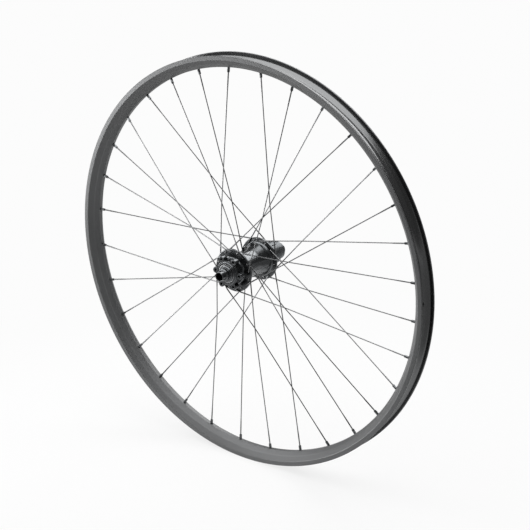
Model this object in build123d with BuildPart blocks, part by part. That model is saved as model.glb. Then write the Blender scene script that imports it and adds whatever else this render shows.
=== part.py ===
# Rear bicycle wheel for a disc brake and a 12 mm through axle.
# Frame: origin at the wheel centre, axle along Y, +Y to the disc side, +Z up, +X forward.
import os
from math import acos, cos, radians, sin, sqrt

from build123d import *

# Rim, a double-wall hoop for a 622 mm bead seat; heights and drops are steps from the bead seat
bead_seat_r = 311.0
rim_w = 33.0
hook_h = 6.0
hook_t = 2.3
well_drop = 3.6
well_w = 19.6
wall_foot_drop = 1.0
knee_drop = 8.0
knee_w = 19.8
bed_drop = 13.4
bed_w = 6.0
bed_t = 2.0
well_t = 1.1
side_t = 1.4
bed_corner_t = 1.8

# Rim tape lying in the well
tape_t = 0.4
tape_margin = 0.5

# Valve hole, midway between two spoke holes, as the wheel stands in the photograph
valve_hole_r = 3.25
valve_angle = -88.0

# Spokes
spoke_count = 32
crosses = 3
spoke_r = 1.0
spoke_head_r = 1.95
spoke_head_t = 0.9
spoke_gap = 0.12
interlace_gap = 0.15
spoke_hole_play = 0.3

# Nipples
nipple_flats = 3.2
nipple_reach = 8.0
nipple_head_r = 3.2
nipple_head_t = 2.4
nipple_hole_play = 0.25
nipple_bore_play = 0.12
thread_end = 1.0

# Hub shell
axle_span = 148.0
disc_flange_y = 38.5
drive_flange_y = 22.5
spoke_circle_r = 29.0
flange_margin = 4.0
flange_t = 3.0
barrel_r = 19.5
barrel_flare = 4.5
bell_r = 24.5
bell_length = 19.0
bell_foot = 2.0
neck_r = 19.0
neck_foot = 2.2
shell_bore_r = 12.5
cup_r = 25.0
cup_length = 6.5

# Six-bolt rotor seat
rotor_inset = 18.8
rotor_bolt_circle_r = 22.0
rotor_bolt_count = 6
rotor_bolt_hole_r = 2.1
rotor_bolt_depth = 8.0
lug_r = 4.8
lug_length = 9.0
spigot_r = 17.4
spigot_length = 2.0

# Axle, end caps and bearings
axle_r = 7.5
axle_bore_r = 6.05
journal_r = 8.5
collar_r = 9.8
cap_r = 9.5
cap_floor = 3.0
cap_tip_r = 7.6
cap_tip_length = 8.0
cap_step_t = 1.2
dust_flange_r = 12.6
dust_flange_t = 2.4
disc_bearing_r = 14.0
drive_bearing_r = 15.0
shell_bearing_w = 7.0
driver_bearing_r = 12.0
driver_bearing_w = 5.0
seat_gap = 0.01
running_gap = 0.04
side_gap = 0.3

# Driver body
driver_r = 17.3
driver_nose_r = 13.7
driver_spline_length = 24.0
driver_cone_length = 3.0
driver_inset = 6.7
driver_neck_r = 14.0
spline_count = 9
spline_w = 4.0
spline_depth = 1.3

# Ratchet ring and pawls
ratchet_teeth = 24
ratchet_root_r = 17.8
tooth_height = 1.4
ratchet_sides = 12
ratchet_wall = 1.9
ratchet_w = 7.0
pawl_count = 3
pawl_w = 5.0
pawl_pivot_r = 11.8
pawl_heel_r = 1.4
pawl_tip_r = 17.2
pawl_tip_angle = 25.0
pawl_tip_depth = 2.2
pawl_tip_sweep = 4.0
pawl_floor_r = 10.1
tooth_play = 3.8

# Rim radii, worked out from the bead seat
rim_r = bead_seat_r + hook_h
well_r = bead_seat_r - well_drop
wall_foot_r = bead_seat_r - wall_foot_drop
knee_r = bead_seat_r - knee_drop
bed_r = bead_seat_r - bed_drop

# Flange edge and places along the axle, worked out from the sizes above
flange_r = spoke_circle_r + flange_margin
end_face_y = axle_span / 2
axle_disc_end_y = end_face_y - cap_tip_length - cap_step_t
axle_drive_end_y = cap_floor - end_face_y
rotor_face_y = end_face_y - rotor_inset
disc_end_y = rotor_face_y + spigot_length
disc_seat_y = disc_end_y - shell_bearing_w
cup_end_y = -(drive_flange_y + flange_t / 2 + cup_length)
pocket_floor_y = cup_end_y + ratchet_w + side_gap
drive_seat_y = pocket_floor_y + shell_bearing_w
driver_base_y = cup_end_y - side_gap
driver_neck_y = pocket_floor_y - side_gap
driver_end_y = driver_inset - end_face_y
driver_seat_y = driver_end_y + driver_bearing_w

# Spoke lines, worked out from the hub and the rim
hole_pitch = 360 / spoke_count
spoke_turn = crosses * 2 * hole_pitch
bed_mid_r = bed_r + bed_t / 2
hole_x = spoke_circle_r * sin(radians(spoke_turn))
hole_z = spoke_circle_r * cos(radians(spoke_turn))
plan_length = sqrt(hole_x**2 + (bed_mid_r - hole_z) ** 2)
foot_r = bed_mid_r * hole_x / plan_length
cross_r = foot_r / cos(acos(foot_r / bed_mid_r) - radians(hole_pitch))
hole_to_foot = sqrt(spoke_circle_r**2 - foot_r**2)
cross_share = (sqrt(cross_r**2 - foot_r**2) - hole_to_foot) / plan_length
edge_share = (sqrt((flange_r + spoke_r)**2 - foot_r**2) - hole_to_foot) / plan_length

os.makedirs("parts", exist_ok=True)


def save(piece, name):
    piece.part.label = name
    export_step(piece.part, f"parts/{name}.step")


def axle_plane(y):
    # Plane square to the axle at y, facing the drive side, with its own x along +X and y along +Z
    return Plane.XZ.offset(-y)


def spoke_points(side, inbound):
    # Corners of the spoke whose rim hole is at the top: head, elbow, flange edge, crossing, thread end
    flange = disc_flange_y if side > 0 else drive_flange_y
    hand = 1 if inbound else -1
    rest = flange_t / 2 + spoke_r + spoke_gap
    over = spoke_r + interlace_gap / 2
    hole = Vector(hand * hole_x, 0, hole_z)
    seat = Vector(0, 0, bed_mid_r)
    head_y = side * (flange + hand * (flange_t / 2 + spoke_gap))
    elbow = hole + Vector(0, side * (flange - hand * rest), 0)
    cross_y = side * (flange * (1 - cross_share) + hand * over)
    crossing = hole + (seat - hole) * cross_share + Vector(0, cross_y, 0)
    points = [hole + Vector(0, head_y, 0), elbow]
    if not inbound:
        edge = hole + (seat - hole) * edge_share + Vector(0, side * (flange + rest), 0)
        points.append(edge)
    points.append(crossing)
    points.append(seat + (seat - crossing).normalized() * thread_end)
    return points


def nipple_plane(side, inbound):
    # Plane on the spoke line in the middle of the spoke bed, facing outward along the spoke
    crossing, end = spoke_points(side, inbound)[-2:]
    return Plane(origin=(0, 0, bed_mid_r), x_dir=(0, 1, 0), z_dir=end - crossing)


def turned(plane, angle):
    return Plane(
        origin=plane.origin.rotate(Axis.Y, angle),
        x_dir=plane.x_dir.rotate(Axis.Y, angle),
        z_dir=plane.z_dir.rotate(Axis.Y, angle),
    )


# The lacing: sides take turns round the rim, and so do spokes inside and outside their flange
lacing = []
for index in range(spoke_count):
    lacing.append(
        {
            "side": 1 if index % 2 == 0 else -1,
            "inbound": index % 4 < 2,
            "angle": valve_angle + (index + 0.5) * hole_pitch,
            "number": index // 2 + 1,
        }
    )
nipple_planes = [turned(nipple_plane(line["side"], line["inbound"]), line["angle"]) for line in lacing]

# Rim
half_w = rim_w / 2
chamber_floor_r = bed_r + bed_t
chamber_roof_r = well_r - well_t
floor_share = bed_t / (knee_r - bed_r)
chamber_floor_half = bed_w / 2 + floor_share * (knee_w - bed_w) / 2 - bed_corner_t
roof_share = (chamber_roof_r - knee_r) / (wall_foot_r - knee_r)
chamber_roof_half = knee_w / 2 + roof_share * (half_w - knee_w / 2) - side_t
nipple_hole_w = nipple_flats + 2 * nipple_hole_play
with BuildPart() as rim:
    with BuildSketch(Plane.XY):
        with BuildLine():
            Polyline(
                (bed_r, 0),
                (bed_r, bed_w / 2),
                (knee_r, knee_w / 2),
                (wall_foot_r, half_w),
                (rim_r, half_w),
                (rim_r, half_w - hook_t),
                (bead_seat_r, half_w - hook_t),
                (well_r, well_w / 2),
                (well_r, 0),
            )
            mirror(about=Plane.XZ)
        make_face()
        with BuildLine():
            Polyline(
                (chamber_floor_r, 0),
                (chamber_floor_r, chamber_floor_half),
                (chamber_roof_r, chamber_roof_half),
                (chamber_roof_r, 0),
            )
            mirror(about=Plane.XZ)
        make_face(mode=Mode.SUBTRACT)
    revolve(axis=Axis.Y)
    with BuildSketch(*nipple_planes):
        Rectangle(nipple_hole_w, nipple_hole_w)
    extrude(amount=bed_t, both=True, mode=Mode.SUBTRACT)
    with BuildSketch(turned(Plane.XY, valve_angle)):
        Circle(valve_hole_r)
    extrude(amount=rim_r, mode=Mode.SUBTRACT)
save(rim, "rim")

# Rim tape
tape_half = well_w / 2 - tape_margin
with BuildPart() as rim_tape:
    with BuildSketch(Plane.XY):
        with Locations((well_r + seat_gap, -tape_half)):
            Rectangle(tape_t, 2 * tape_half, align=Align.MIN)
    revolve(axis=Axis.Y)
    with BuildSketch(turned(Plane.XY, valve_angle)):
        Circle(valve_hole_r)
    extrude(amount=rim_r, mode=Mode.SUBTRACT)
save(rim_tape, "rim_tape")


def bent_spoke(side, inbound):
    points = spoke_points(side, inbound)
    along = (points[1] - points[0]).normalized()
    with BuildPart() as spoke:
        with BuildLine() as path:
            Polyline(*points)
        with BuildSketch(Plane(origin=points[0], x_dir=(1, 0, 0), z_dir=along)):
            RegularPolygon(spoke_r, 6)
        sweep(path=path.wires()[0], transition=Transition.RIGHT)
        with BuildSketch(Plane(origin=points[0], x_dir=(1, 0, 0), z_dir=-along)):
            RegularPolygon(spoke_head_r, 6)
        extrude(amount=spoke_head_t)
    return spoke.part


spoke_forms = {(side, inbound): bent_spoke(side, inbound) for side in (1, -1) for inbound in (True, False)}
for line in lacing:
    with BuildPart() as spoke:
        add(spoke_forms[line["side"], line["inbound"]].rotate(Axis.Y, line["angle"]))
    save(spoke, f"spoke_{'disc' if line['side'] > 0 else 'drive'}_{line['number']:02d}")

# Nipples, 32 alike in one group: square shank, head inside the rim, bore for the spoke
nipple_tilt = max(nipple_plane(*key).z_dir.get_angle(Vector(0, 0, 1)) for key in spoke_forms)
nipple_seat = bed_t / 2 + nipple_head_r * sin(radians(nipple_tilt)) + spoke_gap
nipple_foot = bed_t / 2 + nipple_reach


def seated_nipple(side, inbound):
    plane = nipple_plane(side, inbound)
    with BuildPart() as nipple:
        with BuildSketch(plane.offset(-nipple_foot)):
            Rectangle(nipple_flats, nipple_flats)
        extrude(amount=nipple_foot + nipple_seat)
        with BuildSketch(plane.offset(nipple_seat)):
            RegularPolygon(nipple_head_r, 6)
        extrude(amount=nipple_head_t)
        with BuildSketch(plane.offset(-nipple_foot)):
            RegularPolygon(spoke_r + nipple_bore_play, 6, major_radius=False)
        extrude(amount=nipple_foot + thread_end + spoke_gap, mode=Mode.SUBTRACT)
    return nipple.part


nipple_forms = {key: seated_nipple(*key) for key in spoke_forms}
with BuildPart() as nipples:
    add([nipple_forms[line["side"], line["inbound"]].rotate(Axis.Y, line["angle"]) for line in lacing])
save(nipples, "nipples")

# Hub shell: one turned piece, then the rotor lugs, spoke holes and ratchet pocket
lug_foot_y = rotor_face_y - lug_length
disc_outer_y = disc_flange_y + flange_t / 2
disc_inner_y = disc_flange_y - flange_t / 2
drive_outer_y = -drive_flange_y - flange_t / 2
drive_inner_y = -drive_flange_y + flange_t / 2
ratchet_outer_r = ratchet_root_r + ratchet_wall
disc_hole_angle = valve_angle + hole_pitch / 2
drive_hole_angle = disc_hole_angle + hole_pitch
with BuildPart() as hub_shell:
    with BuildSketch(Plane.XY):
        with BuildLine():
            Polyline(
                (disc_bearing_r + seat_gap, disc_seat_y),
                (disc_bearing_r + seat_gap, disc_end_y),
                (spigot_r, disc_end_y),
                (spigot_r, rotor_face_y),
                (neck_r, rotor_face_y),
                (neck_r, disc_outer_y + neck_foot),
                (neck_r + neck_foot, disc_outer_y),
                (flange_r, disc_outer_y),
                (flange_r, disc_inner_y),
                (barrel_r + barrel_flare, disc_inner_y),
                (barrel_r, disc_inner_y - 2 * barrel_flare),
                (barrel_r, drive_inner_y + bell_length),
                (bell_r, drive_inner_y + bell_foot),
                (bell_r + bell_foot, drive_inner_y),
                (flange_r, drive_inner_y),
                (flange_r, drive_outer_y),
                (cup_r, drive_outer_y),
                (cup_r, cup_end_y),
                (drive_bearing_r + seat_gap, cup_end_y),
                (drive_bearing_r + seat_gap, drive_seat_y),
                (shell_bore_r, drive_seat_y),
                (shell_bore_r, disc_seat_y),
                close=True,
            )
        make_face()
    revolve(axis=Axis.Y)
    with BuildSketch(axle_plane(rotor_face_y)):
        with PolarLocations(rotor_bolt_circle_r, rotor_bolt_count):
            Circle(lug_r)
        Circle(spigot_r, mode=Mode.SUBTRACT)
    extrude(amount=lug_length)
    with BuildSketch(axle_plane(rotor_face_y)):
        with PolarLocations(rotor_bolt_circle_r, rotor_bolt_count):
            Circle(rotor_bolt_hole_r)
    extrude(amount=rotor_bolt_depth, mode=Mode.SUBTRACT)
    for flange_y, first_angle in ((disc_flange_y, disc_hole_angle), (-drive_flange_y, drive_hole_angle)):
        with BuildSketch(axle_plane(flange_y)):
            with PolarLocations(spoke_circle_r, spoke_count // 2, start_angle=90 - first_angle):
                RegularPolygon(spoke_r + spoke_hole_play, 6, major_radius=False)
        extrude(amount=flange_t, both=True, mode=Mode.SUBTRACT)
    with BuildSketch(axle_plane(pocket_floor_y)):
        RegularPolygon(ratchet_outer_r, ratchet_sides, major_radius=False)
    extrude(amount=ratchet_w + side_gap, mode=Mode.SUBTRACT)
save(hub_shell, "hub_shell")

# Ratchet ring: saw teeth inside, flats outside that key it into the shell
tooth_pitch = 360 / ratchet_teeth
tooth_face_angle = pawl_tip_angle + tooth_play


def polar(radius, angle):
    # Point in an axle plane, its angle taken from +Z towards +X
    return (radius * sin(radians(angle)), radius * cos(radians(angle)))


tooth_points = []
for tooth in range(ratchet_teeth):
    face_angle = tooth_face_angle + tooth * tooth_pitch
    tooth_points.append(polar(ratchet_root_r, face_angle))
    tooth_points.append(polar(ratchet_root_r - tooth_height, face_angle))
with BuildPart() as ratchet_ring:
    with BuildSketch(axle_plane(pocket_floor_y)):
        RegularPolygon(ratchet_outer_r - seat_gap, ratchet_sides, major_radius=False)
        with BuildLine():
            Polyline(*tooth_points, close=True)
        make_face(mode=Mode.SUBTRACT)
    extrude(amount=ratchet_w)
save(ratchet_ring, "ratchet_ring")

# Axle: hollow, stepped, with a collar between the shell bearings
with BuildPart() as axle:
    with BuildSketch(Plane.XY):
        with BuildLine():
            Polyline(
                (axle_bore_r, axle_drive_end_y),
                (axle_r, axle_drive_end_y),
                (axle_r, driver_seat_y + side_gap),
                (journal_r, driver_seat_y + side_gap),
                (journal_r, drive_seat_y + side_gap),
                (collar_r, drive_seat_y + side_gap),
                (collar_r, disc_seat_y - side_gap),
                (axle_r, disc_seat_y - side_gap),
                (axle_r, axle_disc_end_y),
                (axle_bore_r, axle_disc_end_y),
                close=True,
            )
        make_face()
    revolve(axis=Axis.Y)
save(axle, "axle")

# End caps, pushed over the axle ends
with BuildPart() as end_cap_disc:
    with BuildSketch(Plane.XY):
        with BuildLine():
            Polyline(
                (axle_bore_r, end_face_y),
                (cap_tip_r, end_face_y),
                (cap_tip_r, end_face_y - cap_tip_length),
                (cap_r, end_face_y - cap_tip_length),
                (cap_r, disc_end_y + side_gap + dust_flange_t),
                (dust_flange_r, disc_end_y + side_gap + dust_flange_t),
                (dust_flange_r, disc_end_y + side_gap),
                (axle_r + seat_gap, disc_end_y + side_gap),
                (axle_r + seat_gap, axle_disc_end_y),
                (axle_bore_r, axle_disc_end_y),
                close=True,
            )
        make_face()
    revolve(axis=Axis.Y)
save(end_cap_disc, "end_cap_disc")

with BuildPart() as end_cap_drive:
    with BuildSketch(Plane.XY):
        with BuildLine():
            Polyline(
                (axle_bore_r, -end_face_y),
                (cap_r, -end_face_y),
                (cap_r, driver_end_y - side_gap),
                (axle_r + seat_gap, driver_end_y - side_gap),
                (axle_r + seat_gap, axle_drive_end_y),
                (axle_bore_r, axle_drive_end_y),
                close=True,
            )
        make_face()
    revolve(axis=Axis.Y)
save(end_cap_drive, "end_cap_drive")


def sealed_bearing(shaft_r, outer_r, start_y, width):
    # Sealed cartridge, tight in its seat and running on the shaft
    with BuildPart() as bearing:
        with BuildSketch(Plane.XY):
            with Locations((shaft_r + running_gap, start_y)):
                Rectangle(outer_r - shaft_r - running_gap, width, align=Align.MIN)
        revolve(axis=Axis.Y)
    return bearing


save(sealed_bearing(axle_r, disc_bearing_r, disc_seat_y, shell_bearing_w), "bearing_disc_side")
save(sealed_bearing(journal_r, drive_bearing_r, pocket_floor_y, shell_bearing_w), "bearing_drive_side")
save(sealed_bearing(axle_r, driver_bearing_r, driver_end_y, driver_bearing_w), "bearing_driver")

# Driver body: neck with pawl pockets, splines for the sprockets, slimmer nose
spline_end_y = driver_base_y - driver_spline_length
nose_start_y = spline_end_y - driver_cone_length
with BuildPart() as driver_body:
    with BuildSketch(Plane.XY):
        with BuildLine():
            Polyline(
                (journal_r + running_gap, driver_neck_y),
                (driver_neck_r, driver_neck_y),
                (driver_neck_r, driver_base_y),
                (driver_r, driver_base_y),
                (driver_r, spline_end_y),
                (driver_nose_r, nose_start_y),
                (driver_nose_r, driver_end_y),
                (driver_bearing_r + seat_gap, driver_end_y),
                (driver_bearing_r + seat_gap, driver_seat_y),
                (journal_r + running_gap, driver_seat_y),
                close=True,
            )
        make_face()
    revolve(axis=Axis.Y)
    with BuildSketch(axle_plane(driver_base_y)):
        with PolarLocations(driver_r, spline_count):
            Rectangle(2 * spline_depth, spline_w)
    extrude(amount=driver_spline_length + driver_cone_length, mode=Mode.SUBTRACT)
    with BuildSketch(axle_plane(driver_neck_y)):
        with PolarLocations(0, pawl_count):
            with Locations((-pawl_heel_r - side_gap, pawl_floor_r)):
                Rectangle(driver_neck_r, driver_neck_r, align=Align.MIN)
    extrude(amount=driver_neck_y - driver_base_y, mode=Mode.SUBTRACT)
save(driver_body, "driver_body")

# Pawls: round heel in the driver's pocket, tip in the ratchet teeth
pawl_y = driver_neck_y - (driver_neck_y - driver_base_y - pawl_w) / 2
for number in range(pawl_count):
    turn = number * 360 / pawl_count
    with BuildPart() as pawl:
        with BuildSketch(axle_plane(pawl_y)):
            with Locations(polar(pawl_pivot_r, turn)):
                Circle(pawl_heel_r)
            with BuildLine():
                Polyline(
                    polar(pawl_tip_r, pawl_tip_angle + turn),
                    polar(pawl_tip_r - pawl_tip_depth, pawl_tip_angle + turn),
                    polar(pawl_tip_r - pawl_tip_depth / 2, pawl_tip_angle - pawl_tip_sweep + turn),
                    close=True,
                )
            make_face()
            make_hull()
        extrude(amount=pawl_w)
    save(pawl, f"pawl_{number + 1}")
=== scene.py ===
import math

import bmesh
import bpy
import numpy as np
from mathutils import Matrix, Vector


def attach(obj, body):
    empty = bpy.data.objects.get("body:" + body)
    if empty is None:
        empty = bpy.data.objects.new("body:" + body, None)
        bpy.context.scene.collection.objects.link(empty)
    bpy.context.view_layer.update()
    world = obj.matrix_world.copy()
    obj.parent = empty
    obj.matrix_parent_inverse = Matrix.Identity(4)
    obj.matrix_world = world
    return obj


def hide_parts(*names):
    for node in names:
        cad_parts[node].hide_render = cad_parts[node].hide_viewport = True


# Rear bicycle wheel: rim, tape, laced spokes, nipples, disc hub, driver.
# Sizes in millimetres in the dictionaries; meshes are written in metres, studio and lamps too.
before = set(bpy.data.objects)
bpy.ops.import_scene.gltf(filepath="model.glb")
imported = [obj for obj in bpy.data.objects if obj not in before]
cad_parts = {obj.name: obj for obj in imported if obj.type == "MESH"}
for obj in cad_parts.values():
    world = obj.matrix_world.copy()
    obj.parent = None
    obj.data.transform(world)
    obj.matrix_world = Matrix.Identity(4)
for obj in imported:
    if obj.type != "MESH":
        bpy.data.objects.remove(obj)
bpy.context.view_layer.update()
print("frame loaded:", len(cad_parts), "nodes")

mm = 0.001
scene = bpy.context.scene
scene.view_settings.view_transform = "Standard"


def gridFaces(rows, cols, wrapRows, wrapCols, first):
    # quads of a rows x cols grid of points, numbered from first; wrapping joins the last line to the first
    i = np.arange(rows if wrapRows else rows - 1)
    j = np.arange(cols if wrapCols else cols - 1)
    a, b = np.meshgrid(i, j, indexing="ij")
    nextA, nextB = (a + 1) % rows, (b + 1) % cols
    quads = [a * cols + b, nextA * cols + b, nextA * cols + nextB, a * cols + nextB]
    return np.stack(quads, axis=-1).reshape(-1, 4) + first


def grid(points, wrapRows=False, wrapCols=False, worn=0.0, sunk=0.0):
    # one patch of a piece: its points, how it closes on itself, and two marks for each point,
    # how worn it is and how much painted shade it takes, as inside the rim's tyre channel
    marks = {label: np.broadcast_to(mark, points.shape[:2])
             for label, mark in (("edgeWear", worn), ("channelShade", sunk))}
    return points, wrapRows, wrapCols, marks


def buildPiece(name, grids, material, sharp, merge=0.002):
    # one mesh from several grids of points in mm, with their marks as attributes
    verts, quads, count = [], [], 0
    for points, wrapRows, wrapCols, _ in grids:
        rows, cols = points.shape[:2]
        verts.append(points.reshape(-1, 3))
        quads.append(gridFaces(rows, cols, wrapRows, wrapCols, count))
        count += rows * cols
    mesh = bpy.data.meshes.new(name)
    mesh.from_pydata((np.concatenate(verts) * mm).tolist(), [], np.concatenate(quads).tolist())
    for label in ("edgeWear", "channelShade"):
        values = np.concatenate([marks[label].reshape(-1) for *_, marks in grids])
        mesh.attributes.new(label, "FLOAT", "POINT").data.foreach_set("value", values.astype(np.float32))
    return finishMesh(name, mesh, material, sharp, merge)


def cleanMesh(mesh, merge):
    # merges points that meet, drops faces with no area and turns the others outwards
    work = bmesh.new()
    work.from_mesh(mesh)
    bmesh.ops.remove_doubles(work, verts=work.verts, dist=merge * mm)
    bmesh.ops.dissolve_degenerate(work, edges=work.edges, dist=merge * mm)
    bmesh.ops.recalc_face_normals(work, faces=work.faces)
    work.to_mesh(mesh)
    work.free()


def finishMesh(name, mesh, material, sharp, merge):
    # smooth faces, with edges sharper than the given angle left hard
    cleanMesh(mesh, merge)
    mesh.polygons.foreach_set("use_smooth", np.ones(len(mesh.polygons), dtype=bool))
    mesh.set_sharp_from_angle(angle=math.radians(sharp))
    mesh.materials.append(material)
    piece = bpy.data.objects.new(name, mesh)
    scene.collection.objects.link(piece)
    return piece


def roundProfile(corners, steps=5, support=0.15):
    # line through (radius, y, corner rounding) with each corner turned into an arc, the solid on its right;
    # outward arcs are marked as worn, and long straight runs get a point close to each end
    table = np.asarray(corners, dtype=float)
    spots, radii = table[:, :2], table[:, 2]
    line, worn = [spots[:1]], [np.zeros(1)]
    for k in range(1, len(spots) - 1):
        if radii[k] == 0:
            line.append(spots[k:k + 1])
            worn.append(np.zeros(1))
            continue
        back, ahead = spots[k - 1] - spots[k], spots[k + 1] - spots[k]
        back, ahead = back / np.linalg.norm(back), ahead / np.linalg.norm(ahead)
        turn = math.pi - math.acos(float(np.clip(back @ ahead, -1, 1)))
        reach = radii[k] * math.tan(turn / 2)
        middle = spots[k] + (back + ahead) / np.linalg.norm(back + ahead) * radii[k] / math.cos(turn / 2)
        start, end = spots[k] + back * reach - middle, spots[k] + ahead * reach - middle
        t = np.linspace(0, 1, steps + 1)
        arc = np.sin((1 - t) * turn)[:, None] * start + np.sin(t * turn)[:, None] * end
        line.append(middle + arc / math.sin(turn))
        outward = back[0] * ahead[1] - back[1] * ahead[0] > 0
        worn.append(np.sin(math.pi * t) * outward)
    line.append(spots[-1:])
    worn.append(np.zeros(1))
    return supportEnds(np.concatenate(line), np.concatenate(worn), support)


def supportEnds(line, worn, support):
    # two more points on every straight run longer than four supports, so flat faces shade flat
    step = np.diff(line, axis=0)
    length = np.linalg.norm(step, axis=1)
    roomy = length > 4 * support
    share = np.where(roomy, support / np.maximum(length, support), 0)[:, None]
    near, far = line[:-1] + step * share, line[1:] - step * share
    points = np.stack([line[:-1], near, far], axis=1).reshape(-1, 2)
    marks = np.stack([worn[:-1], worn[:-1] * 0, worn[1:] * 0], axis=1).reshape(-1)
    keep = np.stack([length >= 0, roomy, roomy], axis=1).reshape(-1)
    return np.concatenate([points[keep], line[-1:]]), np.concatenate([marks[keep], worn[-1:]])


def onCylinder(radius, angles, y):
    # points at an angle from +Z towards +X about the axle
    wide = np.broadcast_to(y, angles.shape)
    return np.stack([np.sin(angles) * radius, wide, np.cos(angles) * radius], axis=-1)


def turnProfile(profile, angles, flats=None, sides=1):
    # profile points (radius, y) carried round the axle: rows follow the angle, columns the profile;
    # columns marked in flats follow an outline of that many flat sides instead of a circle
    radius = np.broadcast_to(profile[:, 0], (len(angles), len(profile)))
    if flats is not None:
        side = math.radians(360 / sides)
        outline = 1 / np.cos(np.mod(angles, side) - side / 2)
        radius = radius * np.where(flats[None, :], outline[:, None], 1)
    return onCylinder(radius, np.broadcast_to(angles[:, None], radius.shape), profile[:, 1])


def turnAbout(points, angle):
    # turns points about the axle, from +Z towards +X
    c, s = math.cos(angle), math.sin(angle)
    x, y, z = points[..., 0], points[..., 1], points[..., 2]
    return np.stack([x * c + z * s, y, z * c - x * s], axis=-1)


def evenTurns(count):
    # angles of even steps once round
    return np.arange(count) * 2 * math.pi / count


def squareFrame(n, m):
    # once round a square from -1 to 1: n steps along the top and the bottom, m along each side
    along, down = np.linspace(-1, 1, n + 1)[:-1], np.linspace(1, -1, m + 1)[:-1]
    return (np.concatenate([along, np.ones(m), -along, -np.ones(m)]),
            np.concatenate([np.ones(n), down, -np.ones(n), -down]))


def dress(piece, body, slot, *nodes):
    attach(piece, body)
    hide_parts(*nodes)


def socketGroup(name, inputs, outputs):
    # an empty node group with named sockets
    group = bpy.data.node_groups.new(name, "ShaderNodeTree")
    for label, kind, value in inputs:
        socket = group.interface.new_socket(label, in_out="INPUT", socket_type=kind)
        socket.default_value = value
    for label, kind in outputs:
        group.interface.new_socket(label, in_out="OUTPUT", socket_type=kind)
    return group, group.nodes.new("NodeGroupInput"), group.nodes.new("NodeGroupOutput")


def fillSocket(tree, socket, value):
    # a plain number is set on the socket, another socket is linked to it
    if isinstance(value, (int, float)):
        socket.default_value = value
    else:
        tree.links.new(value, socket)


def mathNode(tree, operation, first, second=0):
    node = tree.nodes.new("ShaderNodeMath")
    node.operation = operation
    for socket, value in zip(node.inputs, (first, second)):
        fillSocket(tree, socket, value)
    return node.outputs["Value"]


def mixNode(tree, factor, first, second, kind="FLOAT"):
    node = tree.nodes.new("ShaderNodeMix")
    node.data_type = kind
    for label, value in (("Factor", factor), ("A", first), ("B", second)):
        fillSocket(tree, node.inputs[label], value)
    return node.outputs["Result"]


def rangeNode(tree, value, limits, smooth=False):
    # a Map Range node; limits are where the value starts and stops and what comes out there
    node = tree.nodes.new("ShaderNodeMapRange")
    node.interpolation_type = "SMOOTHSTEP" if smooth else "LINEAR"
    for label, limit in zip(("Value", "From Min", "From Max", "To Min", "To Max"), (value, *limits)):
        fillSocket(tree, node.inputs[label], limit)
    return node.outputs["Result"]


# what all finishes share; bumpDepth is in metres, scales are per metre
skinShape = {"grainDetail": 3.0, "cloudDetail": 4.0, "lineScale": 2600.0, "lineDetail": 2.0,
             "cloudFrom": 0.3, "cloudTo": 0.7, "textureShare": 0.35, "cloudShare": 0.65, "bumpDepth": 0.0001}


def makeMetalSkin(shape):
    # blasted grain and a slow cloud of handling on object coordinates, turning lines that follow
    # distance from the axle plus y, and bright wear where the piece's edgeWear attribute is high
    number, tint = "NodeSocketFloat", "NodeSocketColor"
    group, into, out = socketGroup(
        "metalSkin",
        [("Grain Scale", number, 900.0), ("Cloud Scale", number, 9.0), ("Line Share", number, 0.3),
         ("Dark", tint, (0.05, 0.05, 0.05, 1)), ("Light", tint, (0.08, 0.08, 0.08, 1)),
         ("Worn", tint, (0.2, 0.2, 0.2, 1)), ("Wear", number, 0.5), ("Rough Low", number, 0.3),
         ("Rough High", number, 0.5)],
        [("Color", tint), ("Roughness", number), ("Height", number)])
    link, add, given = group.links.new, group.nodes.new, into.outputs
    coords, axes, mark = (add("ShaderNode" + kind) for kind in ("TexCoord", "SeparateXYZ", "Attribute"))
    grain, cloud, lines = (add("ShaderNodeTexNoise") for _ in range(3))
    for noise, scale, detail in ((grain, "Grain Scale", shape["grainDetail"]),
                                 (cloud, "Cloud Scale", shape["cloudDetail"])):
        noise.inputs["Detail"].default_value = detail
        link(coords.outputs["Object"], noise.inputs["Vector"])
        link(given[scale], noise.inputs["Scale"])
    link(coords.outputs["Object"], axes.inputs["Vector"])
    squares = mathNode(group, "ADD", mathNode(group, "POWER", axes.outputs["X"], 2),
                       mathNode(group, "POWER", axes.outputs["Z"], 2))
    run = mathNode(group, "ADD", mathNode(group, "SQRT", squares), axes.outputs["Y"])
    lines.noise_dimensions = "1D"
    lines.inputs["Scale"].default_value = shape["lineScale"]
    lines.inputs["Detail"].default_value = shape["lineDetail"]
    link(run, lines.inputs["W"])
    texture = mixNode(group, given["Line Share"], grain.outputs["Fac"], lines.outputs["Fac"])
    spread = rangeNode(group, cloud.outputs["Fac"], (shape["cloudFrom"], shape["cloudTo"], 0.0, 1.0))
    tone = mathNode(group, "ADD", mathNode(group, "MULTIPLY", texture, shape["textureShare"]),
                    mathNode(group, "MULTIPLY", spread, shape["cloudShare"]))
    colour = mixNode(group, tone, given["Dark"], given["Light"], "RGBA")
    mark.attribute_name = "edgeWear"
    rubbed = mathNode(group, "MULTIPLY", mark.outputs["Fac"], given["Wear"])
    patchy = mathNode(group, "MULTIPLY", rubbed, spread)
    link(mixNode(group, patchy, colour, given["Worn"], "RGBA"), out.inputs["Color"])
    rough = rangeNode(group, tone, (0.0, 1.0, given["Rough Low"], given["Rough High"]))
    link(rough, out.inputs["Roughness"])
    link(texture, out.inputs["Height"])
    return group


metalSkin = makeMetalSkin(skinShape)


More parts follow.
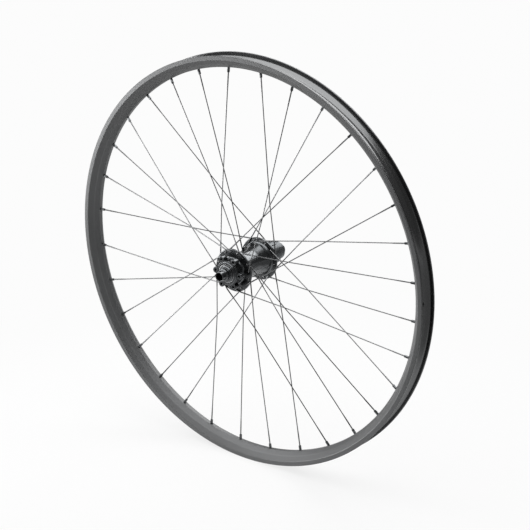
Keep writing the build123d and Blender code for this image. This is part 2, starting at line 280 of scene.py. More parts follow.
def skinShader(tree, look):
    # principled metal, anodised alloy or plastic with the skin group on colour, roughness and bump
    nodes, link = tree.nodes, tree.links.new
    shader, skin, bump = (nodes.new("ShaderNode" + kind) for kind in ("BsdfPrincipled", "Group", "Bump"))
    skin.node_tree = metalSkin
    settings = {"Grain Scale": look["grain"], "Cloud Scale": look["cloud"], "Line Share": look["lines"],
                "Wear": look["wear"], "Rough Low": look["rough"][0], "Rough High": look["rough"][1]}
    for label in ("Dark", "Light", "Worn"):
        settings[label] = tuple(look[label.lower()] * share for share in look["tint"]) + (1,)
    for label, value in settings.items():
        skin.inputs[label].default_value = value
    bump.inputs["Strength"].default_value = look["bump"]
    bump.inputs["Distance"].default_value = skinShape["bumpDepth"]
    link(skin.outputs["Height"], bump.inputs["Height"])
    link(skin.outputs["Color"], shader.inputs["Base Color"])
    link(skin.outputs["Roughness"], shader.inputs["Roughness"])
    if "dish" in look:
        # a shallow hollow: height grows with the square of y from the middle of the wheel
        coords, axes, hollow = (nodes.new("ShaderNode" + kind)
                                for kind in ("TexCoord", "SeparateXYZ", "Bump"))
        link(coords.outputs["Object"], axes.inputs["Vector"])
        link(mathNode(tree, "POWER", axes.outputs["Y"], 2), hollow.inputs["Height"])
        hollow.inputs["Distance"].default_value = look["dish"]
        link(bump.outputs["Normal"], hollow.inputs["Normal"])
        bump = hollow
    link(bump.outputs["Normal"], shader.inputs["Normal"])
    shader.inputs["Metallic"].default_value = look["metal"]
    shader.inputs["IOR"].default_value = look["ior"]
    shader.inputs["Specular Tint"].default_value = look["tint"] + (1,)
    return shader.outputs["BSDF"]


def metalFinish(name, look, inner=None):
    # one skin all over, or a second one, darker as painted shade, where the piece's channel-shade mark is
    # high
    material = bpy.data.materials.new(name)
    material.use_nodes = True
    tree = material.node_tree
    tree.nodes.remove(tree.nodes["Principled BSDF"])
    surface = skinShader(tree, look)
    if inner is not None:
        mark, mix = tree.nodes.new("ShaderNodeAttribute"), tree.nodes.new("ShaderNodeMixShader")
        mark.attribute_name = "channelShade"
        tree.links.new(mark.outputs["Fac"], mix.inputs["Fac"])
        tree.links.new(surface, mix.inputs[1])
        tree.links.new(skinShader(tree, inner), mix.inputs[2])
        surface = mix.outputs["Shader"]
    tree.links.new(surface, tree.nodes["Material Output"].inputs["Surface"])
    return material


# black anodised alloy leans a little to blue, blasted alloy and steel hardly
anodised, plain = (0.92, 0.965, 1.0), (0.985, 1.0, 1.015)
finishes = {
    "rim": {"dark": 0.066, "light": 0.085, "worn": 0.15, "wear": 0.5, "tint": plain, "rough": (0.36, 0.46),
            "metal": 0.0, "ior": 1.62, "grain": 1400.0, "cloud": 7.0, "lines": 0.4, "bump": 0.03},
    "hub": {"dark": 0.008, "light": 0.012, "worn": 0.06, "wear": 0.6, "tint": anodised,
            "rough": (0.19, 0.26), "metal": 0.0, "ior": 1.95, "grain": 2200.0, "cloud": 40.0, "lines": 0.7,
            "bump": 0.008},
    "cap": {"dark": 0.006, "light": 0.010, "worn": 0.08, "wear": 0.6, "tint": anodised,
            "rough": (0.13, 0.19), "metal": 0.0, "ior": 1.95, "grain": 2200.0, "cloud": 60.0, "lines": 0.3,
            "bump": 0.004},
    "driver": {"dark": 0.07, "light": 0.10, "worn": 0.2, "wear": 0.7, "tint": anodised, "rough": (0.3, 0.4),
               "metal": 0.5, "ior": 1.6, "grain": 2000.0, "cloud": 60.0, "lines": 0.6, "bump": 0.04},
    "spoke": {"dark": 0.14, "light": 0.18, "worn": 0.3, "wear": 0.4, "tint": plain, "rough": (0.2, 0.28),
              "metal": 1.0, "ior": 1.6, "grain": 2500.0, "cloud": 25.0, "lines": 0.0, "bump": 0.04},
    "nipple": {"dark": 0.008, "light": 0.014, "worn": 0.08, "wear": 0.6, "tint": anodised,
               "rough": (0.22, 0.34), "metal": 0.0, "ior": 1.7, "grain": 2500.0, "cloud": 80.0, "lines": 0.0,
               "bump": 0.06},
    "steel": {"dark": 0.32, "light": 0.46, "worn": 0.6, "wear": 0.5, "tint": plain, "rough": (0.2, 0.34),
              "metal": 1.0, "ior": 1.5, "grain": 2600.0, "cloud": 90.0, "lines": 0.6, "bump": 0.05},
    "axle": {"dark": 0.30, "light": 0.42, "worn": 0.55, "wear": 0.5, "tint": plain, "rough": (0.25, 0.4),
             "metal": 1.0, "ior": 1.5, "grain": 2600.0, "cloud": 60.0, "lines": 0.8, "bump": 0.06},
    "tape": {"dark": 0.018, "light": 0.028, "worn": 0.05, "wear": 0.3, "tint": plain, "rough": (0.20, 0.28),
             "metal": 0.0, "ior": 2.1, "grain": 500.0, "cloud": 16.0, "lines": 0.2, "bump": 0.08,
             "dish": 32.0},
}
# the tyre channel of the rim is glossier than the blasted outside, and its colour is painted near black
# as shade, where little light reaches into the channel
channel = {"dark": 0.008, "light": 0.014, "worn": 0.06, "wear": 0.5, "tint": plain, "rough": (0.20, 0.28),
           "metal": 0.0, "ior": 2.1, "grain": 1400.0, "cloud": 9.0, "lines": 0.6, "bump": 0.02}
materials = {key: metalFinish(key + "Finish", look, channel if key == "rim" else None)
             for key, look in finishes.items()}
print("finishes:", len(materials))

# where the spokes run, shared by rim, spokes, nipples and flanges
lacing = {"count": 32, "crosses": 3, "valveAngle": -88.0, "spokeCircle": 29.0, "discFlange": 38.5,
          "driveFlange": 22.5, "flangeEdge": 33.0, "flangeThick": 3.0, "spokeR": 1.0, "gap": 0.12,
          "interlace": 0.15, "threadEnd": 1.0}
pitch = 2 * math.pi / lacing["count"]
halfSector = pitch / 4
valveAngle = math.radians(lacing["valveAngle"])

rimShape = {"top": 317.0, "half": 16.5, "hookIn": 14.2, "seat": 311.0, "well": 307.4, "wellHalf": 9.8,
            "foot": 310.0, "knee": 303.0, "kneeHalf": 9.9, "bed": 297.6, "bedHalf": 3.0, "bedThick": 2.0,
            "wellThick": 1.1, "sideThick": 1.4, "bedCorner": 1.8, "nippleHole": 2.05, "valveHole": 3.25,
            "bedFlat": 2.5, "wellFlat": 8.7, "bedRound": 1.3, "kneeRound": 18.0, "footRound": 2.2,
            "lipRound": 0.75, "seatRound": 4.0, "wellRound": 1.4, "lipTouch": 0.01, "perSector": 6,
            "across": 6, "holeRings": 4, "ringEase": 1.4, "drillSides": 32, "drillReach": 1.5,
            "drillMerge": 0.004, "sharp": 40.0}

# the hoop has one half sector for each spoke and one between each two; the valve takes one of those
spokeCentres = valveAngle + (np.arange(lacing["count"]) + 0.5) * pitch
betweenCentres = valveAngle + np.arange(1, lacing["count"]) * pitch
valveCentre = np.array([valveAngle])
hoopAngles = valveAngle - halfSector + evenTurns(lacing["count"] * 2 * rimShape["perSector"])


def bandPatches(radius, halfWidth, centres, holeR):
    # flat band at one radius with a round hole at each centre: a square frame of points
    # is drawn in to the hole circle in a few steps, then wrapped on the cylinder
    s, y = squareFrame(rimShape["perSector"], rimShape["across"])
    frameS, frameY = s * halfSector * radius, y * halfWidth
    length = np.hypot(frameS, frameY)
    holeS, holeY = frameS / length * holeR, frameY / length * holeR
    t = np.linspace(0, 1, rimShape["holeRings"])[:, None] ** rimShape["ringEase"]
    flatS, flatY = holeS + (frameS - holeS) * t, holeY + (frameY - holeY) * t
    angles = centres[:, None, None] + flatS / radius
    return [grid(patch, wrapCols=True) for patch in onCylinder(radius, angles, flatY)]


def plainPatches(radius, halfWidth, centres):
    # the same band with no hole: an even grid over one half sector
    s = np.linspace(-1, 1, rimShape["perSector"] + 1)[:, None] * halfSector
    y = np.linspace(-1, 1, rimShape["across"] + 1)[None, :] * halfWidth
    angles = centres[:, None, None] + s + 0 * y
    return [grid(patch) for patch in onCylinder(radius, angles, y)]


def joinHoles(first, second):
    # short tubes from the holes in one row of patches to the same holes in another
    return [grid(np.stack([a[0][0], b[0][0]]), wrapCols=True) for a, b in zip(first, second)]


def drillBed(hoop, shape):
    # round valve hole through the spoke bed and its sloping sides, cut by a straight drill
    around = evenTurns(shape["drillSides"])
    low, high = shape["bed"] - shape["drillReach"], shape["bed"] + shape["bedThick"] + shape["drillReach"]
    depth = np.array([low, low, high, high])[:, None] + 0 * around
    size = np.array([0.0, shape["valveHole"], shape["valveHole"], 0.0])[:, None]
    ring = np.stack([size * np.sin(around), size * np.cos(around), depth], axis=-1)
    patch = grid(turnAbout(ring, valveAngle), wrapCols=True)
    drill = buildPiece("drill", [patch], materials["rim"], shape["sharp"])
    cut = hoop.modifiers.new("drill", "BOOLEAN")
    cut.operation, cut.solver, cut.object = "DIFFERENCE", "EXACT", drill
    drilled = bpy.data.meshes.new_from_object(hoop.evaluated_get(bpy.context.evaluated_depsgraph_get()))
    cleanMesh(drilled, shape["drillMerge"])
    drilled.set_sharp_from_angle(angle=math.radians(shape["sharp"]))
    hoop.modifiers.clear()
    hoop.data = drilled
    bpy.data.objects.remove(drill)
    return hoop


def buildRim(shape):
    # the outer skin and the chamber's two sides turned about the axle, bands with holes between them
    floorR, roofR = shape["bed"] + shape["bedThick"], shape["well"] - shape["wellThick"]
    floorShare = shape["bedThick"] / (shape["knee"] - shape["bed"])
    floorHalf = shape["bedHalf"] + floorShare * (shape["kneeHalf"] - shape["bedHalf"]) - shape["bedCorner"]
    roofShare = (roofR - shape["knee"]) / (shape["foot"] - shape["knee"])
    roofHalf = shape["kneeHalf"] + roofShare * (shape["half"] - shape["kneeHalf"]) - shape["sideThick"]
    bed, well = (shape["bed"], shape["bedFlat"]), (shape["well"], shape["wellFlat"])
    floor, roof = (floorR, floorHalf), (roofR, roofHalf)
    skin, worn = roundProfile([
        bed + (0,), (shape["bed"], shape["bedHalf"], shape["bedRound"]),
        (shape["knee"], shape["kneeHalf"], shape["kneeRound"]),
        (shape["foot"], shape["half"], shape["footRound"]), (shape["top"], shape["half"], shape["lipRound"]),
        (shape["top"], shape["hookIn"], shape["lipRound"]),
        (shape["seat"], shape["hookIn"], shape["seatRound"]),
        (shape["well"], shape["wellHalf"], shape["wellRound"]), well + (0,)])
    chamber = np.array([floor, roof])
    # what lies inward of the lip is the tyre channel, which takes the painted shade
    lip = int(np.flatnonzero(skin[:, 0] > shape["top"] - shape["lipTouch"])[-1])
    sunk = (np.arange(len(skin)) > lip).astype(float)
    grids = []
    for side in (1, -1):
        grids.append(grid(turnProfile(skin * (1, side), hoopAngles), wrapRows=True, worn=worn, sunk=sunk))
        grids.append(grid(turnProfile(chamber * (1, side), hoopAngles), wrapRows=True))
    nippleBands = [bandPatches(*band, spokeCentres, shape["nippleHole"]) for band in (bed, floor)]
    valveBands = [bandPatches(*band, valveCentre, shape["valveHole"]) for band in (roof, well)]
    for band, holes in zip((bed, floor), nippleBands):
        grids += holes + plainPatches(*band, np.concatenate([betweenCentres, valveCentre]))
    for band, holes in zip((roof, well), valveBands):
        grids += plainPatches(*band, np.concatenate([spokeCentres, betweenCentres])) + holes
    grids += joinHoles(*nippleBands) + joinHoles(*valveBands)
    return drillBed(buildPiece("rim_hoop", grids, materials["rim"], shape["sharp"]), shape)


rimHoop = buildRim(rimShape)
dress(rimHoop, "wheel", "rim_alloy", "rim")
print("rim:", len(rimHoop.data.polygons), "faces")

tapeShape = {"inner": 307.41, "thick": 0.4, "half": 9.3, "edge": 0.3, "edgeRound": 0.15, "edgeSteps": 3,
             "sharp": 50.0}


def buildTape(shape):
    # two bands a tape's thickness apart, joined by a rounded edge and by the wall of the valve hole
    inner, outer = shape["inner"], shape["inner"] + shape["thick"]
    half, flat, soft = shape["half"], shape["half"] - shape["edge"], shape["edgeRound"]
    edge, worn = roundProfile([(inner, flat, 0), (inner, half, soft), (outer, half, soft), (outer, flat, 0)],
                              steps=shape["edgeSteps"])
    grids = [grid(turnProfile(edge * (1, side), hoopAngles), wrapRows=True, worn=worn) for side in (1, -1)]
    valveBands = [bandPatches(radius, flat, valveCentre, rimShape["valveHole"]) for radius in (inner, outer)]
    for radius, holes in zip((inner, outer), valveBands):
        grids += plainPatches(radius, flat, np.concatenate([spokeCentres, betweenCentres])) + holes
    grids += joinHoles(*valveBands)
    return buildPiece("rim_strip", grids, materials["tape"], shape["sharp"])


rimStrip = buildTape(tapeShape)
dress(rimStrip, "wheel", "tape", "rim_tape")
print("tape:", len(rimStrip.data.polygons), "faces")

# each spoke lies in one plane that holds the axle's direction; its head is given as
# (distance outwards from the flange, radius)
spokeShape = {"elbowR": 2.2, "bendR": 14.0, "crossR": 120.0, "thinR": 0.76, "thickEnd": 26.0, "taper": 12.0,
              "head": [(0.9, 0.0), (0.9, 0.75), (0.68, 1.55), (0.35, 1.9), (0.08, 1.95), (0.0, 1.7),
                       (-0.12, 1.08)],
              "sides": 12, "bendSteps": 8, "longest": 6.0, "sharp": 60.0, "merge": 0.0005}


def spokePath(side, inbound):
    # corners in the spoke's own plane as (distance from the hub hole, y, rounding), the hub hole,
    # the direction in plan and the slope of the outer end
    turn = lacing["crosses"] * 2 * pitch
    flange = lacing["discFlange"] if side > 0 else lacing["driveFlange"]
    hand = 1 if inbound else -1
    rest = lacing["flangeThick"] / 2 + lacing["spokeR"] + lacing["gap"]
    seatR = rimShape["bed"] + rimShape["bedThick"] / 2
    hole = np.array([hand * lacing["spokeCircle"] * math.sin(turn), lacing["spokeCircle"] * math.cos(turn)])
    plan = np.array([0.0, seatR]) - hole
    length = float(np.linalg.norm(plan))
    foot = seatR * abs(hole[0]) / length
    crossR = foot / math.cos(math.acos(foot / seatR) - pitch)
    holeToFoot = math.sqrt(lacing["spokeCircle"] ** 2 - foot ** 2)
    crossAt = math.sqrt(crossR ** 2 - foot ** 2) - holeToFoot
    edgeAt = math.sqrt((lacing["flangeEdge"] + lacing["spokeR"]) ** 2 - foot ** 2) - holeToFoot
    over = lacing["spokeR"] + lacing["interlace"] / 2
    crossY = side * (flange * (1 - crossAt / length) + hand * over)
    headY = side * (flange + hand * (lacing["flangeThick"] / 2 + lacing["gap"]))
    corners = [(0, headY, 0), (0, side * (flange - hand * rest), spokeShape["elbowR"])]
    if not inbound:
        corners.append((edgeAt, side * (flange + rest), spokeShape["bendR"]))
    corners.append((crossAt, crossY, spokeShape["crossR"]))
    slope = np.array([length - crossAt, -crossY])
    slope /= np.linalg.norm(slope)
    end = np.array([length, 0]) + slope * lacing["threadEnd"]
    corners.append((end[0], end[1], 0))
    return corners, hole, plan / length, slope


def fineLine(line, longest):
    # adds even points to long straight runs so the taper has stations to follow
    parts = [line[:1]]
    for a, b in zip(line[:-1], line[1:]):
        count = max(1, int(np.linalg.norm(b - a) / longest))
        parts.append(a + (b - a) * np.linspace(0, 1, count + 1)[1:, None])
    return np.concatenate(parts)


def buildSpoke(name, side, inbound, angle, shape):
    # a circle carried along the bent path; its radius follows head, thick end, thin middle, thick end
    corners, hole, plan, _ = spokePath(side, inbound)
    line = fineLine(roundProfile(corners, steps=shape["bendSteps"])[0], shape["longest"])
    outward = np.array([0, np.sign(corners[0][1] - corners[1][1])])
    head = np.array(shape["head"])
    path = np.concatenate([line[0] + outward * head[:, :1], line[1:], line[-1:]])
    along = np.concatenate([[0], np.cumsum(np.linalg.norm(np.diff(line, axis=0), axis=1))])
    fromEnd = np.minimum(along, along[-1] - along)
    share = np.clip((fromEnd - shape["thickEnd"]) / shape["taper"], 0, 1)
    body = lacing["spokeR"] + (shape["thinR"] - lacing["spokeR"]) * share * share * (3 - 2 * share)
    radius = np.concatenate([head[:, 1], body[1:], [0.0]])[:, None]
    step = np.gradient(path, axis=0)
    step[:len(head)] = -outward
    step[-1] = step[-2]
    tangent = step / np.linalg.norm(step, axis=1)[:, None]
    around = evenTurns(shape["sides"])
    planX = path[:, :1] - radius * np.cos(around) * tangent[:, 1:]
    y = path[:, 1:] + radius * np.cos(around) * tangent[:, :1]
    sideways = radius * np.sin(around)
    x = hole[0] + plan[0] * planX - plan[1] * sideways
    z = hole[1] + plan[1] * planX + plan[0] * sideways
    patch = grid(turnAbout(np.stack([x, y, z], axis=-1), angle), wrapCols=True)
    return buildPiece(name, [patch], materials["spoke"], shape["sharp"], shape["merge"])


# spokes alternate between the flanges, and on each flange between inbound and outbound
laceOrder = [(1 if k % 2 == 0 else -1, k % 4 < 2) for k in range(lacing["count"])]
for index, (side, inbound) in enumerate(laceOrder):
    label = f"{'disc' if side > 0 else 'drive'}_{index // 2 + 1:02d}"
    spoke = buildSpoke(f"laced_{label}", side, inbound, spokeCentres[index], spokeShape)
    dress(spoke, "wheel", "spoke_steel", f"spoke_{label}")
print("spokes:", lacing["count"])

# stations along a nipple: distance from its tip or its seat, size, 0 round to 1 square, wear
nippleShape = {"fromTip": [(1.4, 0.0, 0, 0), (1.4, 1.08, 0, 0), (0.0, 1.08, 0, 0), (0.0, 1.45, 0, 1),
                           (0.12, 1.62, 0, 1), (0.35, 1.72, 0, 0), (0.9, 1.72, 0.25, 0), (1.3, 1.6, 1, 0.4),
                           (5.4, 1.6, 1, 0.4), (6.3, 1.78, 0.35, 0), (6.9, 1.95, 0, 0)],
               "fromSeat": [(-0.1, 1.95, 0, 0), (0.0, 2.4, 0, 0), (0.0, 2.9, 0, 0), (0.25, 3.1, 0, 0),
                            (1.5, 3.1, 0, 0), (2.2, 2.5, 0, 0), (2.4, 1.6, 0, 0), (2.4, 0.0, 0, 0)],
               "reach": 9.0, "headRoom": 3.2, "roundPower": 2, "squarePower": 9, "sides": 24, "sharp": 38.0,
               "merge": 0.0005}


def buildNipples(shape):
    # one round-to-square section carried along each spoke end
    axes = []
    for side, inbound in laceOrder:
        _, _, plan, slope = spokePath(side, inbound)
        axes.append((plan[0] * slope[0], slope[1], plan[1] * slope[0]))
    axes = np.array(axes)
    tilt = math.acos(float(axes[:, 2].min()))
    seat = rimShape["bedThick"] / 2 + shape["headRoom"] * math.sin(tilt) + lacing["gap"]
    table = np.concatenate([np.array(shape["fromTip"]) + (-shape["reach"], 0, 0, 0),
                            np.array(shape["fromSeat"]) + (seat, 0, 0, 0)])
    around = (np.arange(shape["sides"]) + 0.5) * 2 * math.pi / shape["sides"]
    power = shape["roundPower"] + (shape["squarePower"] - shape["roundPower"]) * table[:, 2:3]
    squared = (np.abs(np.cos(around)) ** power + np.abs(np.sin(around)) ** power) ** (-1 / power)
    radius = table[:, 1:2] * squared
    u = np.array([0.0, 1.0, 0.0]) - axes * axes[:, 1:2]
    u /= np.linalg.norm(u, axis=1)[:, None]
    v = np.cross(axes, u)
    middle = np.array([0, 0, rimShape["bed"] + rimShape["bedThick"] / 2])
    grids = []
    for angle, axis, across, sideways in zip(spokeCentres, axes, u, v):
        local = middle + table[:, :1, None] * axis + (radius * np.cos(around))[..., None] * across
        local = local + (radius * np.sin(around))[..., None] * sideways
        grids.append(grid(turnAbout(local, angle), wrapCols=True, worn=table[:, 3:4]))
    return buildPiece("nipple_set", grids, materials["nipple"], shape["sharp"], shape["merge"])


nippleSet = buildNipples(nippleShape)
dress(nippleSet, "wheel", "nipple_alloy", "nipples")
print("nipples:", len(nippleSet.data.polygons), "faces")

hubShape = {"holesPerFlange": 16, "perHole": 10, "across": 6, "holeRings": 4, "holeR": 1.3, "edgeR": 31.8,
            "insideR": 27.0, "edgeRound": 1.0, "boltCircle": 22.0, "bolts": 6, "boltTurn": 30.0, "lugR": 4.8,
            "lugFoot": 46.2, "rotorFace": 55.2, "lugProud": 0.03, "boltR": 2.1, "boltDepth": 8.0,
            "boltMouth": 0.5, "mouthRound": 0.3, "faceRound": 0.6, "footRound": 0.9, "threadSteps": 20,
            "threadDepth": 0.14, "lugSides": 40, "spigotR": 17.4, "spigotEnd": 57.2, "spigotBevel": 0.9,
            "spigotRound": 0.3, "spigotFillet": 0.25, "rotorSeatR": 19.0, "rotorSeatRound": 0.5,
            "rotorSeatFillet": 3.2,
            "barrel": [(24.0, 37.0, 2.6), (19.5, 28.0, 14.0), (19.5, -2.0, 22.0), (24.5, -19.0, 1.6),
                       (26.5, -21.0, 1.0)],
            "houseR": 25.0, "houseFillet": 0.8, "houseRound": 0.7, "mouthR": 20.6, "mouthY": -30.5,
            "pocketR": 19.7, "pocketSides": 12, "discSeatR": 14.01, "discSeatY": 50.2, "driveSeatR": 15.01,
            "driveSeatY": -23.2, "driveStop": -16.2, "boreR": 12.5, "roundSteps": 6, "sharp": 40.0}


def flangePatches(y, centres):
    # flat ring at one y with a round hole at each centre, every hole in its own wedge of the ring
    s, u = squareFrame(hubShape["perHole"], hubShape["across"])
    radius = hubShape["insideR"] + (u + 1) / 2 * (hubShape["edgeR"] - hubShape["insideR"])
    turn = s * math.pi / hubShape["holesPerFlange"]
    frameX, frameZ = radius * np.sin(turn), radius * np.cos(turn) - lacing["spokeCircle"]
    length = np.hypot(frameX, frameZ)
    holeX, holeZ = frameX / length * hubShape["holeR"], frameZ / length * hubShape["holeR"]
    t = np.linspace(0, 1, hubShape["holeRings"])[:, None]
    x, z = holeX + (frameX - holeX) * t, holeZ + (frameZ - holeZ) * t + lacing["spokeCircle"]
    wedge = np.stack([x, np.full(x.shape, y), z], axis=-1)
    return [grid(turnAbout(wedge, centre), wrapCols=True) for centre in centres]


def rotorLugs(shape):
    # profile turned about each bolt hole: threaded hole, rounded face, rounded side, underside
    face, foot, mouth = shape["rotorFace"], shape["lugFoot"], shape["rotorFace"] - shape["boltMouth"]
    depth = np.linspace(face - shape["boltDepth"], mouth, shape["threadSteps"])
    thread = shape["boltR"] - shape["threadDepth"] * (np.arange(shape["threadSteps"]) % 2)
    outside, worn = roundProfile([
        (shape["boltR"], mouth, 0), (shape["boltR"], face, shape["mouthRound"]),
        (shape["lugR"], face, shape["faceRound"]), (shape["lugR"], foot, shape["footRound"]), (0, foot, 0)])
    inside = np.concatenate([[(0, depth[0])], np.stack([thread, depth], axis=1)])
    line, marks = np.concatenate([inside, outside]), np.concatenate([np.zeros(len(inside)), worn])
    ring = turnProfile(line, evenTurns(shape["lugSides"])) + np.array([0, 0, shape["boltCircle"]])
    turns = math.radians(shape["boltTurn"]) + evenTurns(shape["bolts"])
    return [grid(turnAbout(ring, angle), wrapRows=True, worn=marks) for angle in turns]


def buildHub(shape):
    # outlines turned about the axle, drilled flange rings between them and the rotor's lugs
    discCentres = valveAngle + pitch / 2 + np.arange(shape["holesPerFlange"]) * 2 * pitch
    driveCentres = discCentres + pitch
    angles = discCentres[0] - pitch + evenTurns(shape["holesPerFlange"] * shape["perHole"])
    edge, inside, soft, rim = shape["edgeR"], shape["insideR"], shape["edgeRound"], lacing["flangeEdge"]
    plate = lacing["flangeThick"] / 2
    discOut, discIn = lacing["discFlange"] + plate, lacing["discFlange"] - plate
    driveIn, driveOut = plate - lacing["driveFlange"], -plate - lacing["driveFlange"]
    discSeat = (shape["discSeatR"], shape["discSeatY"])
    driveSeat = (shape["driveSeatR"], shape["driveSeatY"])
    mouth = (shape["mouthR"], shape["mouthY"])
    spigotR, end, bevel, bend = (shape["spigot" + part] for part in ("R", "End", "Bevel", "Round"))
    seatR, seatY = shape["rotorSeatR"], shape["rotorFace"] - shape["lugProud"]
    strips = {
        "rotor spigot": [discSeat + (0,), (discSeat[0], end, bend), (spigotR - bevel, end, bend),
                         (spigotR, end - bevel, bend), (spigotR, seatY, shape["spigotFillet"]),
                         (seatR, seatY, shape["rotorSeatRound"]), (seatR, discOut, shape["rotorSeatFillet"]),
                         (inside, discOut, 0)],
        "disc flange": [(edge, discOut, 0), (rim, discOut, soft), (rim, discIn, soft), (edge, discIn, 0)],
        "barrel": [(inside, discIn, 0), *shape["barrel"], (inside, driveIn, 0)],
        "drive flange": [(edge, driveIn, 0), (rim, driveIn, soft), (rim, driveOut, soft),
                         (edge, driveOut, 0)],
        "ratchet house": [(inside, driveOut, 0), (shape["houseR"], driveOut, shape["houseFillet"]),
                          (shape["houseR"], mouth[1], shape["houseRound"]), mouth + (0,)],
        "bore": [driveSeat + (0,), (driveSeat[0], shape["driveStop"], 0),
                 (shape["boreR"], shape["driveStop"], 0), (shape["boreR"], discSeat[1], 0), discSeat + (0,)]}
    grids = []
    for strip in strips.values():
        line, worn = roundProfile(strip, steps=shape["roundSteps"])
        grids.append(grid(turnProfile(line, angles), wrapRows=True, worn=worn))
    # pocket for the ratchet ring: round at the mouth's edge and the floor, twelve flats between
    pocket = np.array([mouth, (shape["pocketR"], mouth[1]), (shape["pocketR"], driveSeat[1]), driveSeat])
    flats = np.array([False, True, True, False])
    grids.append(grid(turnProfile(pocket, angles, flats, shape["pocketSides"]), wrapRows=True))
    for faces, centres in (((discOut, discIn), discCentres), ((driveIn, driveOut), driveCentres)):
        first, second = (flangePatches(y, centres) for y in faces)
        grids += first + second + joinHoles(first, second)
    return buildPiece("hub_body", grids + rotorLugs(shape), materials["hub"], shape["sharp"])


hubBody = buildHub(hubShape)
dress(hubBody, "wheel", "hub_alloy", "hub_shell")
print("hub:", len(hubBody.data.polygons), "faces")

# pieces turned on a lathe: closed (radius, y, rounding) outlines, solid on the right
turnedShapes = {
    "end_cap_disc": {
        "name": "disc_cap", "finish": "cap", "body": "axle", "slot": "cap_alloy",
        "outline": [(6.05, 70.0, 0), (6.05, 74.0, 0.5), (7.1, 74.0, 0.2), (7.6, 73.5, 0.2), (7.6, 66.0, 0.5),
                    (8.2, 66.0, 0.3), (9.5, 64.7, 0.4), (9.5, 59.9, 0.8), (11.2, 59.9, 0.3),
                    (12.6, 58.5, 0.4), (12.6, 57.5, 0.3), (7.51, 57.5, 0.2), (7.51, 64.8, 0),
                    (6.05, 64.8, 0), (6.05, 70.0, 0)]},
    "end_cap_drive": {
        "name": "drive_cap", "finish": "cap", "body": "axle", "slot": "cap_alloy",
        "outline": [(6.05, -72.0, 0), (6.05, -71.0, 0), (7.51, -71.0, 0), (7.51, -67.6, 0.2),
                    (9.5, -67.6, 0.3), (9.5, -74.0, 0.6), (6.05, -74.0, 0.5), (6.05, -72.0, 0)]},
    "axle": {
        "name": "axle_tube", "finish": "axle", "body": "axle", "slot": "axle_alloy",
        "outline": [(6.05, 0, 0), (6.05, 64.8, 0.2), (7.5, 64.8, 0.3), (7.5, 49.9, 0.2), (9.8, 49.9, 0.3),
                    (9.8, -15.9, 0.3), (8.5, -15.9, 0.2), (8.5, -62.0, 0.3), (7.5, -62.0, 0.2),
                    (7.5, -71.0, 0.3), (6.05, -71.0, 0.2), (6.05, 0, 0)]},
}

bearingShape = {"raceShare": 0.24, "sealDepth": 0.35, "raceRound": 0.25, "sealRound": 0.1}


def sealedRing(innerR, outerR, start, width, shape):
    # cartridge bearing: inner and outer race with a sunk seal between them on both faces
    race, end, middle = (outerR - innerR) * shape["raceShare"], start + width, start + width / 2
    sunk, soft, fine = shape["sealDepth"], shape["raceRound"], shape["sealRound"]
    low, high = innerR + race, outerR - race
    return [(innerR, middle, 0), (innerR, end, soft), (low, end, fine), (low, end - sunk, fine),
            (high, end - sunk, fine), (high, end, fine), (outerR, end, soft), (outerR, start, soft),
            (high, start, fine), (high, start + sunk, fine), (low, start + sunk, fine), (low, start, fine),
            (innerR, start, soft), (innerR, middle, 0)]


# name, body, inner radius, outer radius, lower face, width
bearingPlaces = {"bearing_disc_side": ("disc_bearing", "wheel", 7.54, 14.0, 50.2, 7.0),
                 "bearing_drive_side": ("drive_bearing", "wheel", 8.54, 15.0, -23.2, 7.0),
                 "bearing_driver": ("nose_bearing", "driver", 7.54, 12.0, -67.3, 5.0)}
for node, (name, body, *sizes) in bearingPlaces.items():
    turnedShapes[node] = {"name": name, "finish": "steel", "body": body, "slot": "bearing_steel",
                          "outline": sealedRing(*sizes, bearingShape)}

lathe = {"steps": 120, "sharp": 40.0}
for node, shape in turnedShapes.items():
    line, worn = roundProfile(shape["outline"])
    ring = grid(turnProfile(line, evenTurns(lathe["steps"])), wrapRows=True, worn=worn)
    piece = buildPiece(shape["name"], [ring], materials[shape["finish"]], lathe["sharp"])
    dress(piece, shape["body"], shape["slot"], node)
print("turned pieces:", len(turnedShapes))

# the driver, ratchet and pawls keep their milled CAD form, merged and shaded smooth; the normals stored
# in the copied mesh would not fit it any more
milled = {"sharp": 30.0, "merge": 0.001}
milledPieces = {
    "ratchet_ring": ("ratchet", "steel", "wheel", "bearing_steel"),
    "driver_body": ("driver", "driver", "driver", "driver_alloy"),
    "pawl_1": ("pawl_a", "steel", "pawl_1", "bearing_steel"),
    "pawl_2": ("pawl_b", "steel", "pawl_2", "bearing_steel"),
    "pawl_3": ("pawl_c", "steel", "pawl_3", "bearing_steel"),
}
for node, (name, finish, body, slot) in milledPieces.items():
    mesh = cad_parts[node].data.copy()
    mesh.materials.clear()
    mesh.attributes.remove(mesh.attributes["custom_normal"])
    dress(finishMesh(name, mesh, materials[finish], milled["sharp"], milled["merge"]), body, slot, node)
print("milled pieces:", len(milledPieces))

# floorZ in millimetres, the other lengths in metres
studio = {"floorZ": -317.0, "floorSize": 40.0, "white": 0.973, "paint": 0.7, "shadowShare": 0.16,
          "shadowFrom": 0.35, "shadowTo": 0.75, "diffuseFill": 0.06, "horizon": 1.0, "ceiling": 0.1,
          "fadeFrom": -0.05, "fadeTo": 0.12, "frontFrom": 0.15, "frontTo": 0.8, "sideFrom": 0.40,
          "sideTo": 0.62, "bench": 0.3}
studioWhite = (studio["white"],) * 3 + (1,)


def seenRays(tree):
    # the camera's rays, and 1 for camera, glossy and transmission rays, 0 for the light on the object
    rays = tree.nodes.new("ShaderNodeLightPath").outputs
    shiny = mathNode(tree, "MAXIMUM", rays["Is Glossy Ray"], rays["Is Transmission Ray"])
    return rays["Is Camera Ray"], mathNode(tree, "MAXIMUM", rays["Is Camera Ray"], shiny)


